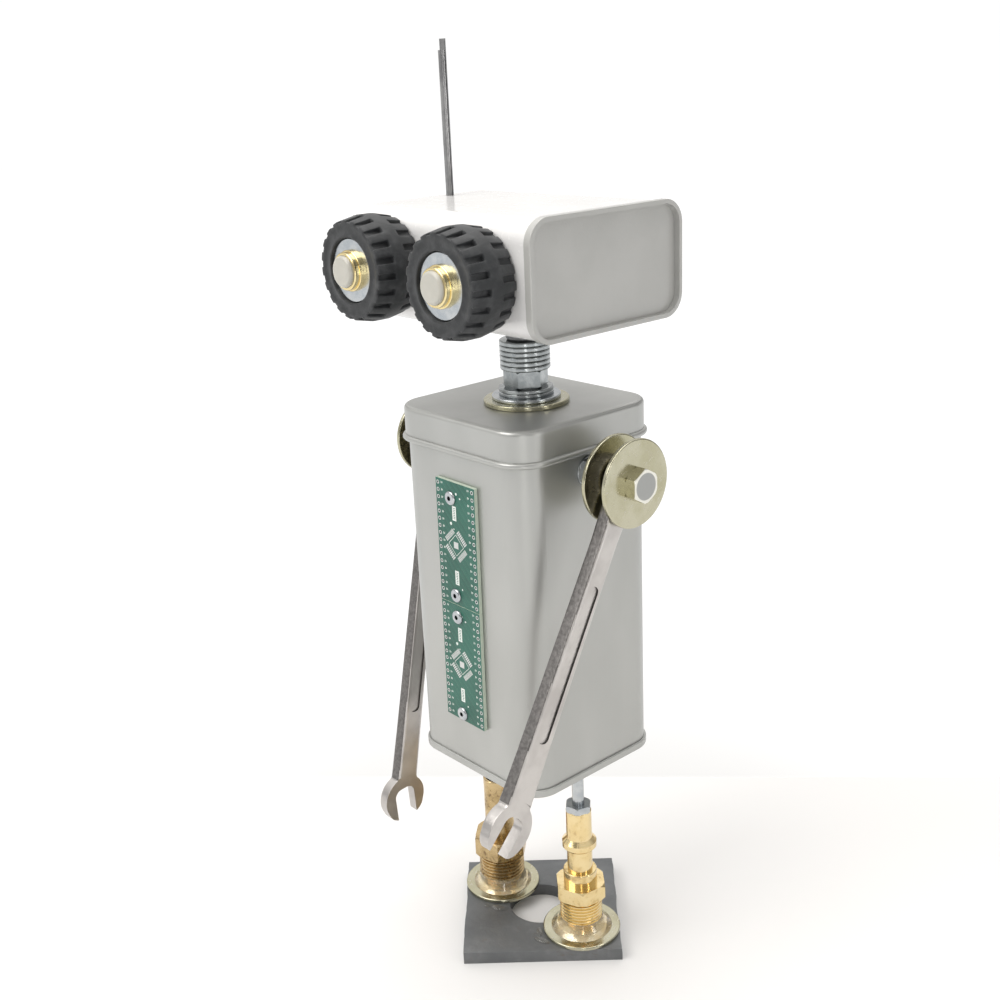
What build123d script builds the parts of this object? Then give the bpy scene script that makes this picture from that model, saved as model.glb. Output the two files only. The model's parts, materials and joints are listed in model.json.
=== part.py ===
from build123d import *
import os
from math import cos, radians, sin

os.makedirs("parts", exist_ok=True)

# A found-object robot figure. The origin is the centre of the hole in the base plate, on the
# ground. +Z is up, the robot faces -Y, and +X is the robot's left.

# Base plate
plate_long = 65.0
plate_short = 63.0
plate_t = 5.2
plate_turn = 47.6
plate_hole_r = 13.0

# Fender washers shared by the feet, the shoulders and the neck
fender_r = 15.875
fender_t = 1.6
slack = 0.05

# Legs
left_foot = (23.0, 1.3)
right_foot = (-23.1, -1.2)
foot_top = plate_t + fender_t
rod_r = 2.38
rod_low_z = 8.0
rod_end_z = 97.0
left_leg_hex_z = 22.0
left_leg_neck_z = 34.0
left_leg_collar_z = 44.0
left_leg_nut_z = 61.0
right_leg_hex_z = 22.0
right_leg_tube_z = 31.0
right_leg_top_z = 58.0
left_thread_r = 8.6
right_thread_r = 9.6
left_leg_flats = 19.0
right_leg_flats = 20.6
rod_nut_flats = 9.5
rod_nut_t = 3.2
epoxy_r = 12.4
epoxy_h = 5.4

# Body tin
tin_x = 68.6
tin_y = 66.2
tin_corner = 10.5
tin_wall = 0.5
tin_centre = (0.0, 1.1)
tin_bottom_z = 83.5
seam_h = 3.1
seam_proud = 0.9
panel_inset = 2.4

# Lid of the body tin
lid_top_z = 225.8
lid_bead_z = 213.5
lid_proud = 1.2
bead_r = 1.15

# Circuit boards and their eyelets
board_w = 21.8
board_h = 48.5
board_t = 1.6
board_x = -0.8
board_joint_z = 153.4
board_lean = 0.9
eyelets = ((-2.6, 195.6), (-2.5, 157.3), (-2.5, 148.5), (-2.9, 107.8))
eyelet_r = 2.7

# Shoulders and arms
left_shoulder_z = 205.4
right_shoulder_z = 202.6
bolt_r = 3.17
bolt_head_x = 57.7
bolt_head_h = 4.4
bolt_flats = 11.1
bolt_length = 31.75
spacer_nut_t = 5.55
arm_x = 52.15
left_arm_reach = 126.5
right_arm_reach = 157.0
left_arm_hang = 29.0
right_arm_hang = 11.3
jaw_turn = 15.0

# Neck
neck = (3.3, 0.0)
stud_r = 4.7
stud_low_z = 214.0
stud_top_z = 269.0
neck_flats = 14.3
wide_washer_r = 12.7
lower_washer_r = 10.1
stack_washer_r = 9.25
spacer_r = 6.6
turn_gap = 0.08
neck_stack_z = 238.6
stack_pitch = 1.8
stack_count = 6

# Head
head_centre = (-4.0, 2.5, 277.0)
head_x = 97.6
head_y = 71.4
head_z = 39.8
head_corner = 8.0
cap_t = 0.6
cap_skirt = 2.4

# Eyes
left_eye = (20.6, 276.8)
right_eye = (-28.6, 277.9)
tyre_r = 18.6
tyre_w = 18.2
hub_r = 11.3
eye_washer_r = 11.1
lug_count = 20
stem_r = 4.7
button_r = 5.6
button_gap = 0.08

# Antenna
antenna_xy = (-47.8, 10.8)
pin_r = 1.5
antenna_top_z = 353.6

tin_front_y = tin_centre[1] - tin_y / 2
head_left_x = head_centre[0] + head_x / 2
head_right_x = head_centre[0] - head_x / 2
head_front_y = head_centre[1] - head_y / 2
head_bottom_z = head_centre[2] - head_z / 2
head_top_z = head_centre[2] + head_z / 2


def save(piece, name):
    """Label a finished piece and write it as a STEP file of the same name."""
    piece.part.label = name
    export_step(piece.part, "parts/" + name + ".step")


def level(spot, z):
    """A level plane at a height over one spot, facing up."""
    return Plane((spot[0], spot[1], z))


def sideways(x, z, side):
    """A plane facing out to one side of the robot: side is 1 for left, -1 for right."""
    return Plane((x * side, 0, z), x_dir=(0, side, 0), z_dir=(side, 0, 0))


def forward(spot, y):
    """A plane facing the front of the robot at a place given by x and z."""
    return Plane((spot[0], y, spot[1]), x_dir=(1, 0, 0), z_dir=(0, -1, 0))


def flat_washer(plane, outer_r, hole_r, thick):
    """A stamped washer with softened rims, standing on a plane."""
    with BuildPart() as ring:
        with BuildSketch(plane):
            Circle(outer_r)
            Circle(hole_r, mode=Mode.SUBTRACT)
        extrude(amount=thick)
        fillet(ring.edges().filter_by(GeomType.CIRCLE), thick * 0.28)
    return ring.part


def hex_block(plane, across_flats, thick, hole_r=0.0, turn=0.0):
    """A hexagon with the corners chamfered off both ends and an optional hole."""
    corner_r = across_flats / (2 * cos(radians(30)))
    with BuildPart() as block:
        with BuildSketch(plane):
            Circle(corner_r)
        extrude(amount=thick)
        chamfer(block.edges().filter_by(GeomType.CIRCLE), corner_r * 0.085)
        with BuildSketch(plane):
            RegularPolygon(across_flats / 2, 6, major_radius=False, rotation=turn)
        extrude(amount=thick, mode=Mode.INTERSECT)
        if hole_r:
            with BuildSketch(plane):
                Circle(hole_r)
            extrude(amount=thick, mode=Mode.SUBTRACT)
    return block.part


def group(solids):
    """Identical fasteners that share one node."""
    with BuildPart() as together:
        add(solids)
    return together


def thread_outline(root_r, crest_r, low_z, high_z, pitch):
    """Points up the outside of a thread, ridge by ridge."""
    points = []
    ridges = int((high_z - low_z) / pitch)
    for ridge in range(ridges):
        foot = low_z + ridge * pitch
        points += [(root_r, foot), (crest_r, foot + pitch * 0.35), (crest_r, foot + pitch * 0.65)]
    points += [(root_r, low_z + ridges * pitch), (root_r, high_z)]
    return points


def turned(spot, outline):
    """A piece turned on a lathe: an outline of radius and height, spun about an upright axis."""
    with BuildPart() as piece:
        with BuildSketch(Plane((spot[0], spot[1], 0), x_dir=(1, 0, 0), z_dir=(0, -1, 0))):
            with BuildLine():
                Polyline(*outline, close=True)
            make_face()
        revolve(axis=Axis((spot[0], spot[1], 0), (0, 0, 1)))
    return piece.part


def rolled_pan(plane, width, depth, corner, proud):
    """A pan pressed into the end of a tin, with its rim rolled over the wall."""
    with BuildPart() as pan:
        with BuildSketch(plane):
            RectangleRounded(width + 2 * proud, depth + 2 * proud, corner + proud)
        extrude(amount=seam_h)
        ends = pan.faces().filter_by(Axis(plane.origin, plane.z_dir))
        fillet(ends.edges(), proud * 0.6)
        with BuildSketch(plane.offset(tin_wall)):
            RectangleRounded(width + 2 * slack, depth + 2 * slack, corner + slack)
        extrude(amount=seam_h, mode=Mode.SUBTRACT)
        step = tin_wall + slack
        with BuildSketch(plane):
            RectangleRounded(width - 2 * step, depth - 2 * step, corner - step)
        extrude(amount=panel_inset + tin_wall)
        step += tin_wall
        with BuildSketch(plane):
            RectangleRounded(width - 2 * step, depth - 2 * step, corner - step)
        extrude(amount=panel_inset, mode=Mode.SUBTRACT)
    return pan


# Base: a square of steel plate with a flame-cut hole, laid corner to corner under the feet.
plate_plane = Plane((0, 0, 0), x_dir=(cos(radians(plate_turn)), sin(radians(plate_turn)), 0))
with BuildPart() as base_plate:
    with BuildSketch(plate_plane):
        RectangleRounded(plate_long, plate_short, 1.5)
        Circle(plate_hole_r, mode=Mode.SUBTRACT)
    extrude(amount=plate_t)
    chamfer(base_plate.faces().sort_by(Axis.Z)[-1].edges(), 0.35)
save(base_plate, "base_plate")

# Feet: a wide washer under each leg, with a skirt of set epoxy round the thread.
for side_name, foot, thread_r in (("left", left_foot, left_thread_r),
                                 ("right", right_foot, right_thread_r)):
    foot_washer = group([flat_washer(level(foot, plate_t), fender_r, 3.6, fender_t)])
    save(foot_washer, side_name + "_foot_washer")
    with BuildPart() as epoxy:
        with BuildSketch(Plane((foot[0], foot[1], 0), x_dir=(1, 0, 0), z_dir=(0, -1, 0))):
            with BuildLine():
                low_out = (epoxy_r, foot_top + slack)
                high_in = (thread_r + slack, foot_top + epoxy_h)
                low_in = (thread_r + slack, foot_top + slack)
                sag = ((low_out[0] + high_in[0]) / 2 - 0.4, (low_out[1] + high_in[1]) / 2 - 0.3)
                ThreePointArc(low_out, sag, high_in)
                Line(high_in, low_in)
                Line(low_in, low_out)
            make_face()
        revolve(axis=Axis((foot[0], foot[1], 0), (0, 0, 1)))
    save(epoxy, side_name + "_foot_epoxy")

# Left leg: a brass pipe adapter with a hexagon, holding an air-line plug bored for the rod.
with BuildPart() as left_leg_fitting:
    add(turned(left_foot, [(4.4, foot_top)]
               + thread_outline(left_thread_r - 0.9, left_thread_r, foot_top, left_leg_hex_z, 1.41)
               + [(4.4, left_leg_hex_z)]))
    add(hex_block(level(left_foot, left_leg_hex_z), left_leg_flats, 6.4, 4.4, 20.0))
    with BuildSketch(level(left_foot, left_leg_hex_z + 6.4)):
        Circle(6.8)
        Circle(4.4, mode=Mode.SUBTRACT)
    extrude(amount=left_leg_neck_z - left_leg_hex_z - 6.4)
    fillet(left_leg_fitting.faces().sort_by(Axis.Z)[-1].edges().sort_by(SortBy.LENGTH)[-1], 0.5)
save(left_leg_fitting, "left_leg_fitting")

plug_bore = rod_r + slack
left_leg_plug = group([turned(left_foot, [
    (plug_bore, left_leg_neck_z - 9), (4.35, left_leg_neck_z - 9), (4.35, left_leg_neck_z),
    (5.1, left_leg_neck_z), (5.1, left_leg_collar_z - 0.4), (6.1, left_leg_collar_z),
    (6.95, left_leg_collar_z + 1.0), (6.95, left_leg_collar_z + 3.3),
    (5.2, left_leg_collar_z + 4.9), (5.1, left_leg_nut_z), (plug_bore, left_leg_nut_z)])])
save(left_leg_plug, "left_leg_plug")

left_leg_nut = group([hex_block(level(left_foot, left_leg_nut_z), rod_nut_flats, 3.0,
                                plug_bore, 12.0)])
save(left_leg_nut, "left_leg_nut")

# Right leg: a larger brass adapter with a plain brass tube soldered into its top.
tube_r = 6.2
with BuildPart() as right_leg_fitting:
    add(turned(right_foot, [(4.4, foot_top)]
               + thread_outline(right_thread_r - 1.1, right_thread_r, foot_top, right_leg_hex_z, 1.6)
               + [(4.4, right_leg_hex_z)]))
    add(hex_block(level(right_foot, right_leg_hex_z), right_leg_flats,
                  right_leg_tube_z - right_leg_hex_z, 4.4, 11.6))
    with BuildSketch(level(right_foot, right_leg_tube_z - 5)):
        Circle(tube_r + slack)
    extrude(amount=5, mode=Mode.SUBTRACT)
save(right_leg_fitting, "right_leg_fitting")

with BuildPart() as right_leg_tube:
    with BuildSketch(level(right_foot, right_leg_tube_z - 5)):
        Circle(tube_r)
        Circle(tube_r - 1.1, mode=Mode.SUBTRACT)
    extrude(amount=right_leg_top_z - right_leg_tube_z + 5)
    chamfer(right_leg_tube.faces().sort_by(Axis.Z)[-1].edges(), 0.2)
save(right_leg_tube, "right_leg_tube")

# Leg rods: threaded rod up through each leg and the floor of the tin, with nuts above and below.
floor_low_z = tin_bottom_z + panel_inset
floor_top_z = floor_low_z + tin_wall
for side_name, foot in (("left", left_foot), ("right", right_foot)):
    with BuildPart() as leg_rod:
        with BuildSketch(level(foot, rod_low_z)):
            Circle(rod_r)
        extrude(amount=rod_end_z - rod_low_z)
        chamfer(leg_rod.edges().filter_by(GeomType.CIRCLE), 0.5)
    save(leg_rod, side_name + "_leg_rod")
feet = (left_foot, right_foot)
save(group([hex_block(level(foot, floor_low_z - rod_nut_t), rod_nut_flats, rod_nut_t, plug_bore)
            for foot in feet]), "leg_outer_nuts")
save(group([flat_washer(level(foot, floor_top_z), 8.0, 2.7, 1.2) for foot in feet]),
     "leg_inner_washers")
save(group([hex_block(level(foot, floor_top_z + 1.2), rod_nut_flats, rod_nut_t, plug_bore)
            for foot in feet]), "leg_inner_nuts")

# Body tin: a drawn tube of tinplate with rounded corners, seamed to a pressed floor.
with BuildPart() as body_tin:
    with BuildSketch(level(tin_centre, tin_bottom_z + tin_wall + slack)):
        RectangleRounded(tin_x, tin_y, tin_corner)
        RectangleRounded(tin_x - 2 * tin_wall, tin_y - 2 * tin_wall, tin_corner - tin_wall,
                         mode=Mode.SUBTRACT)
    extrude(amount=lid_top_z - 2 * tin_wall - tin_bottom_z - tin_wall - slack)
    for side, shoulder_z in ((1, left_shoulder_z), (-1, right_shoulder_z)):
        with BuildSketch(sideways(tin_x / 2 - 5, shoulder_z, side)):
            Circle(bolt_r + 0.3)
        extrude(amount=10, mode=Mode.SUBTRACT)
    for eyelet in eyelets:
        with BuildSketch(forward(eyelet, tin_front_y + 5)):
            Circle(1.6)
        extrude(amount=10, mode=Mode.SUBTRACT)
save(body_tin, "body_tin")

floor_pan = rolled_pan(level(tin_centre, tin_bottom_z), tin_x, tin_y, tin_corner, seam_proud)
with BuildPart() as body_floor:
    add(floor_pan.part)
    for foot in feet:
        with BuildSketch(level(foot, tin_bottom_z)):
            Circle(rod_r + 0.2)
        extrude(amount=seam_h + 2, mode=Mode.SUBTRACT)
save(body_floor, "body_floor")

# Lid: a shallow cover that slips over the tin, with a bead rolled along its lower rim.
lid_x = tin_x + 2 * lid_proud
lid_y = tin_y + 2 * lid_proud
lid_corner = tin_corner + lid_proud
with BuildPart() as body_lid:
    with BuildSketch(level(tin_centre, lid_bead_z - bead_r)):
        RectangleRounded(lid_x + 2 * bead_r, lid_y + 2 * bead_r, lid_corner + bead_r)
    extrude(amount=2 * bead_r)
    fillet(body_lid.faces().filter_by(Axis.Z).edges(), bead_r * 0.95)
    with BuildSketch(level(tin_centre, lid_bead_z)):
        RectangleRounded(lid_x, lid_y, lid_corner)
    extrude(amount=lid_top_z - lid_bead_z)
    fillet(body_lid.faces().sort_by(Axis.Z)[-1].edges(), 1.8)
    with BuildSketch(level(tin_centre, lid_bead_z - bead_r)):
        RectangleRounded(lid_x - 2 * tin_wall, lid_y - 2 * tin_wall, lid_corner - tin_wall)
    extrude(amount=lid_top_z - tin_wall - lid_bead_z + bead_r, mode=Mode.SUBTRACT)
    with BuildSketch(level(neck, lid_top_z - 3)):
        Circle(stud_r + slack)
    extrude(amount=5, mode=Mode.SUBTRACT)
save(body_lid, "body_lid")

# Circuit boards: two breakout boards end to end down the chest, held by hollow eyelets.
lean = radians(board_lean)
for board_name, direction in (("upper_board", 1), ("lower_board", -1)):
    middle = board_h / 2 + 0.05
    board_spot = (board_x + direction * middle * sin(lean), board_joint_z + direction * middle)
    board_plane = Plane((board_spot[0], tin_front_y - slack, board_spot[1]),
                        x_dir=(cos(lean), 0, -sin(lean)), z_dir=(0, -1, 0))
    with BuildPart() as board:
        with BuildSketch(board_plane):
            Rectangle(board_w, board_h)
        extrude(amount=board_t)
        for eyelet in eyelets:
            with BuildSketch(forward(eyelet, tin_front_y)):
                Circle(1.6)
            extrude(amount=board_t + 1, mode=Mode.SUBTRACT)
    save(board, board_name)

eyelet_solids = []
for eyelet in eyelets:
    with BuildPart() as rivet:
        with BuildSketch(forward(eyelet, tin_front_y - slack - board_t)):
            Circle(eyelet_r)
        extrude(amount=1.0)
        fillet(rivet.faces().sort_by(Axis.Y)[0].edges(), 0.8)
        with BuildSketch(forward(eyelet, tin_front_y + tin_wall)):
            Circle(1.5)
        extrude(amount=tin_wall + board_t + slack)
        with BuildSketch(forward(eyelet, tin_front_y + tin_wall + 0.6)):
            Circle(2.3)
        extrude(amount=0.6)
        with BuildSketch(forward(eyelet, tin_front_y + 2)):
            Circle(0.9)
        extrude(amount=6, mode=Mode.SUBTRACT)
    eyelet_solids.append(rivet.part)
save(group(eyelet_solids), "board_eyelets")

# Shoulders: a bolt out through each side of the tin, with spacer nuts and two wide washers.
shoulders = ((1, left_shoulder_z), (-1, right_shoulder_z))
tin_side_x = tin_x / 2
lock_t = 1.2
spacer_x = tin_side_x + lock_t
inner_washer_x = spacer_x + 2 * spacer_nut_t
outer_washer_x = bolt_head_x - fender_t
inside_x = tin_side_x - tin_wall
inside_nut_t = 5.4
bolt_solids = []
for side, shoulder_z in shoulders:
    with BuildPart() as bolt:
        add(hex_block(sideways(bolt_head_x, shoulder_z, side), bolt_flats, bolt_head_h, 0.0, 30.0))
        with BuildSketch(sideways(bolt_head_x - bolt_length, shoulder_z, side)):
            Circle(bolt_r)
        extrude(amount=bolt_length)
    bolt_solids.append(bolt.part)
save(group(bolt_solids), "shoulder_bolts")


def shoulder_washers(x, outer_r, thick):
    """One washer on each shoulder bolt."""
    return group([flat_washer(sideways(x, z, side), outer_r, bolt_r + slack, thick)
                  for side, z in shoulders])


save(shoulder_washers(outer_washer_x, fender_r, fender_t), "shoulder_outer_washers")
save(shoulder_washers(inner_washer_x, fender_r, fender_t), "shoulder_inner_washers")
save(shoulder_washers(tin_side_x, 5.8, lock_t), "shoulder_lock_washers")
save(shoulder_washers(inside_x - 1.6, 8.0, 1.6), "shoulder_inside_washers")
spacer_nuts = [hex_block(sideways(spacer_x + i * spacer_nut_t, z, side), bolt_flats,
                         spacer_nut_t, bolt_r + slack, 10.0 + 25.0 * i)
               for side, z in shoulders for i in range(2)]
save(group(spacer_nuts), "shoulder_spacer_nuts")
inside_nuts = [hex_block(sideways(inside_x - 1.6 - inside_nut_t, z, side), bolt_flats,
                         inside_nut_t, bolt_r + slack, 4.0) for side, z in shoulders]
save(group(inside_nuts), "shoulder_inside_nuts")


# Arms: forged combination wrenches, each hung by its ring end between the wide washers.
def wrench(side, shoulder_z, hang, reach, slim, broad, turn):
    """A wrench from its ring at the shoulder to its open jaw at the hand."""
    tilt = radians(hang)
    flat = Plane((arm_x * side, 0, shoulder_z), x_dir=(0, -sin(tilt), -cos(tilt)),
                 z_dir=(1, 0, 0))
    ring_r = 8.2
    ring_t = 6.8
    shank_t = 5.0
    jaw_t = 5.4
    with BuildPart() as arm:
        with BuildSketch(flat):
            with BuildLine():
                Polyline((0, slim * 0.62), (34, slim / 2), (reach - 20, broad / 2),
                         (reach - 4, broad * 0.72), (reach - 4, -broad * 0.72),
                         (reach - 20, -broad / 2), (34, -slim / 2), (0, -slim * 0.62),
                         close=True)
            make_face()
        extrude(amount=shank_t / 2, both=True)
        rims = arm.faces().filter_by(Axis.X).edges()
        fillet(rims, 1.0)
        with BuildSketch(flat):
            Circle(ring_r)
        extrude(amount=ring_t / 2, both=True)
        with BuildSketch(flat):
            with Locations((reach, 0)):
                Circle(10.0)
            with Locations(Location((reach, 0, 0), (0, 0, turn))):
                Polygon((0, 9.9), (5.5, 9.3), (9.0, 7.3), (9.8, 5.6), (9.8, -5.6), (9.0, -7.3),
                        (5.5, -9.3), (0, -9.9), align=None)
        extrude(amount=jaw_t / 2, both=True)
        for face in (1, -1):
            with BuildSketch(flat.offset(face * (shank_t / 2 - 0.5))):
                with Locations((reach * 0.60, 0)):
                    SlotOverall(reach * 0.42, slim * 0.56)
            extrude(amount=face, mode=Mode.SUBTRACT)
        with BuildSketch(flat):
            RegularPolygon(4.9, 12, major_radius=True)
            with Locations(Location((reach, 0, 0), (0, 0, turn))):
                Polygon((-4.6, -2.8), (-3.2, -4.9), (15, -4.9), (15, 4.9), (-3.2, 4.9),
                        (-4.6, 2.8), align=None)
        extrude(amount=ring_t, both=True, mode=Mode.SUBTRACT)
    return arm


save(wrench(1, left_shoulder_z, left_arm_hang, left_arm_reach, 8.6, 11.2, -jaw_turn),
     "left_arm_wrench")
save(wrench(-1, right_shoulder_z, right_arm_hang, right_arm_reach, 8.0, 9.6, jaw_turn),
     "right_arm_wrench")

# Neck: a stud through the lid and the head, packed out with washers and clamped by nuts.
under_lid_z = lid_top_z - tin_wall
lid_stack_z = lid_top_z + 1.9
with BuildPart() as neck_stud:
    with BuildSketch(level(neck, stud_low_z)):
        Circle(stud_r)
    extrude(amount=stud_top_z - stud_low_z)
    chamfer(neck_stud.edges().filter_by(GeomType.CIRCLE), 0.7)
save(neck_stud, "neck_stud")
neck_hole = stud_r + slack
save(group([flat_washer(level(neck, under_lid_z - 1.6), wide_washer_r, neck_hole, 1.6)]),
     "neck_under_lid_washer")
save(group([hex_block(level(neck, under_lid_z - 8.1), neck_flats, 6.5, neck_hole, 15.0)]),
     "neck_under_lid_nut")
save(group([flat_washer(level(neck, lid_top_z), fender_r, neck_hole, 1.9)]),
     "neck_fender_washer")
save(group([flat_washer(level(neck, lid_stack_z), wide_washer_r, neck_hole, 1.5)]),
     "neck_wide_washer")
save(group([flat_washer(level(neck, lid_stack_z + 1.5 + 1.4 * i), lower_washer_r, neck_hole,
                        1.4) for i in range(2)]), "neck_lower_washers")
neck_nut_z = lid_stack_z + 1.5 + 2.8
save(group([hex_block(level(neck, neck_nut_z), neck_flats, neck_stack_z - neck_nut_z - slack,
                      neck_hole, -3.0)]), "neck_nut")
save(group([flat_washer(level(neck, neck_stack_z + stack_pitch * i), stack_washer_r,
                        neck_hole, stack_pitch - 0.03) for i in range(stack_count)]),
     "neck_washer_stack")
spacer_z = neck_stack_z + stack_pitch * stack_count
with BuildPart() as neck_spacer:
    with BuildSketch(level(neck, spacer_z)):
        Circle(spacer_r)
        Circle(neck_hole, mode=Mode.SUBTRACT)
    extrude(amount=head_bottom_z - spacer_z - slack)
    chamfer(neck_spacer.faces().sort_by(Axis.Z)[0].edges().sort_by(SortBy.LENGTH)[-1], 0.6)
save(neck_spacer, "neck_spacer")
in_head_z = head_bottom_z + tin_wall + slack
save(group([flat_washer(level(neck, in_head_z), wide_washer_r, neck_hole, 1.6)]),
     "neck_in_head_washer")
save(group([hex_block(level(neck, in_head_z + 1.6), neck_flats, 6.5, neck_hole, 8.0)]),
     "neck_in_head_nut")

# Head: a tin laid on its side, seamed at the robot's left end, with a push-in cap at the right.
eyes = (("left", left_eye), ("right", right_eye))
shell_right_x = head_right_x + cap_t
shell_left_x = head_left_x - tin_wall - slack
with BuildPart() as head_shell:
    with BuildSketch(Plane((shell_right_x, head_centre[1], head_centre[2]), x_dir=(0, 1, 0),
                           z_dir=(1, 0, 0))):
        RectangleRounded(head_y, head_z, head_corner)
        RectangleRounded(head_y - 2 * tin_wall, head_z - 2 * tin_wall, head_corner - tin_wall,
                         mode=Mode.SUBTRACT)
    extrude(amount=shell_left_x - shell_right_x)
    with BuildSketch(level(neck, head_bottom_z - 1)):
        Circle(stud_r + turn_gap)
    extrude(amount=3, mode=Mode.SUBTRACT)
    with BuildSketch(level(antenna_xy, head_top_z - 2)):
        Circle(pin_r + slack)
    extrude(amount=4, mode=Mode.SUBTRACT)
    for _, eye in eyes:
        with BuildSketch(forward(eye, head_front_y + 2)):
            Circle(stem_r + slack)
        extrude(amount=4, mode=Mode.SUBTRACT)
save(head_shell, "head_shell")

end_plane = Plane((head_left_x, head_centre[1], head_centre[2]), x_dir=(0, -1, 0),
                  z_dir=(-1, 0, 0))
save(rolled_pan(end_plane, head_y, head_z, head_corner, 0.6), "head_end_panel")

cap_plane = Plane((head_right_x, head_centre[1], head_centre[2]), x_dir=(0, 1, 0),
                  z_dir=(1, 0, 0))
skirt_step = tin_wall + slack
with BuildPart() as head_cap:
    with BuildSketch(cap_plane):
        RectangleRounded(head_y, head_z, head_corner)
    extrude(amount=cap_t)
    with BuildSketch(cap_plane):
        RectangleRounded(head_y - 2 * skirt_step, head_z - 2 * skirt_step,
                         head_corner - skirt_step)
        RectangleRounded(head_y - 4 * skirt_step, head_z - 4 * skirt_step,
                         head_corner - 2 * skirt_step, mode=Mode.SUBTRACT)
    extrude(amount=cap_t + cap_skirt)
save(head_cap, "head_cap")

# Antenna: a long split pin pushed up through the roof of the head, its eye caught inside.
pin_low_z = head_top_z - tin_wall - 2.2
with BuildPart() as antenna:
    for direction, top_z in ((1, antenna_top_z), (-1, antenna_top_z - 4.0)):
        with BuildSketch(Plane((antenna_xy[0], antenna_xy[1], pin_low_z))):
            Circle(pin_r)
            with Locations((0, -direction * (pin_r - 0.15))):
                Rectangle(4 * pin_r, 2 * pin_r, mode=Mode.SUBTRACT)
        extrude(amount=top_z - pin_low_z)
    with BuildSketch(Plane((antenna_xy[0], antenna_xy[1], pin_low_z), x_dir=(0, 1, 0),
                           z_dir=(1, 0, 0))):
        with Locations((0, -2.4)):
            Circle(3.4)
            Circle(1.4, mode=Mode.SUBTRACT)
    extrude(amount=pin_r - 0.1, both=True)
save(antenna, "antenna_pin")

# Eyes: a toy wheel on the face, with a round push button in a brass bezel at its hub.
wheel_back_y = head_front_y - 0.3
hub_front_y = head_front_y - 16.3
bezel_y = hub_front_y - 1.2
for side_name, eye in eyes:
    with BuildPart() as tyre:
        with BuildSketch(forward(eye, wheel_back_y)):
            Circle(tyre_r)
        extrude(amount=tyre_w)
        fillet(tyre.edges().filter_by(GeomType.CIRCLE), 2.0)
        for face_y, depth, phase in ((wheel_back_y - tyre_w, -6.6, 0.0), (wheel_back_y, 6.6, 9.0)):
            with BuildSketch(forward(eye, face_y)):
                with PolarLocations(tyre_r, lug_count, start_angle=phase):
                    Rectangle(4.4, 2.5)
            extrude(amount=depth, mode=Mode.SUBTRACT)
        with BuildSketch(forward(eye, wheel_back_y)):
            Circle(hub_r + slack)
        extrude(amount=tyre_w, mode=Mode.SUBTRACT)
    save(tyre, side_name + "_eye_tyre")

    with BuildPart() as hub:
        with BuildSketch(forward(eye, head_front_y - slack)):
            Circle(hub_r)
            Circle(stem_r + slack, mode=Mode.SUBTRACT)
        extrude(amount=head_front_y - slack - hub_front_y)
    save(hub, side_name + "_eye_hub")

    eye_washer = group([flat_washer(forward(eye, hub_front_y), eye_washer_r, stem_r + slack, 1.2)])
    save(eye_washer, side_name + "_eye_washer")

    with BuildPart() as bezel:
        with BuildSketch(forward(eye, bezel_y)):
            Circle(7.2)
        extrude(amount=1.4)
        fillet(bezel.faces().sort_by(Axis.Y)[0].edges(), 0.4)
        with BuildSketch(forward(eye, bezel_y - 1.4)):
            Circle(6.6)
        extrude(amount=1.9)
        fillet(bezel.faces().sort_by(Axis.Y)[0].edges(), 0.5)
        with BuildSketch(forward(eye, head_front_y + 7)):
            Circle(stem_r)
        extrude(amount=head_front_y + 7 - bezel_y)
        with BuildSketch(forward(eye, bezel_y - 0.3)):
            Circle(button_r + button_gap)
        extrude(amount=5, mode=Mode.SUBTRACT)
        with BuildSketch(forward(eye, bezel_y + 9)):
            Circle(3.6)
        extrude(amount=10, mode=Mode.SUBTRACT)
        with BuildSketch(forward(eye, head_front_y + 8)):
            Circle(2.0 + button_gap)
        extrude(amount=20, mode=Mode.SUBTRACT)
    save(bezel, side_name + "_eye_bezel")

    with BuildPart() as button:
        with BuildSketch(forward(eye, bezel_y - 1.8)):
            Circle(button_r)
        extrude(amount=2.9)
        fillet(button.faces().sort_by(Axis.Y)[0].edges(), 1.2)
        with BuildSketch(forward(eye, bezel_y + 13)):
            Circle(2.0)
        extrude(amount=15)
    save(button, side_name + "_eye_button")

eye_places = (left_eye, right_eye)
save(group([flat_washer(forward(eye, head_front_y + tin_wall + slack + 1.2), 8.5, stem_r + slack,
                        1.2) for eye in eye_places]), "eye_inside_washers")
save(group([hex_block(forward(eye, head_front_y + tin_wall + slack + 1.2 + 4.0), 13.0, 4.0,
                      stem_r + slack, 17.0) for eye in eye_places]), "eye_inside_nuts")
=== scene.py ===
import json
from math import cos, pi, radians, sin

import bpy
from mathutils import Matrix, Vector


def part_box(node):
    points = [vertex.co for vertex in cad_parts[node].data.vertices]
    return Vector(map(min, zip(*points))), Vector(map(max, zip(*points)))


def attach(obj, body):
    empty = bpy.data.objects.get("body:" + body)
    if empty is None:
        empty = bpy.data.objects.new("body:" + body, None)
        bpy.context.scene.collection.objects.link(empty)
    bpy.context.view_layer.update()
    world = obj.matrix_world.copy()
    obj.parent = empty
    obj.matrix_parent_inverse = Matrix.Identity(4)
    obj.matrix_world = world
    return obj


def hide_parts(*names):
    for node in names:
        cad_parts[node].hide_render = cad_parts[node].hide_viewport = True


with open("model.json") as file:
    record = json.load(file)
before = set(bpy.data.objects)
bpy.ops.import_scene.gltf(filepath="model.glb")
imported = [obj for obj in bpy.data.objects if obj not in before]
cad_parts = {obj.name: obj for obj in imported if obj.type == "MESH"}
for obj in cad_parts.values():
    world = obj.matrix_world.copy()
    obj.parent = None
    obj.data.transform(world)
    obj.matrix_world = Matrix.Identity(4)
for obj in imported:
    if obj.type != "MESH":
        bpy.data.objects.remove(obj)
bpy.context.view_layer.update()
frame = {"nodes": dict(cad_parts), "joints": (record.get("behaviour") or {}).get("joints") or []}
nodes = frame["nodes"]
MM = 0.001


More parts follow.
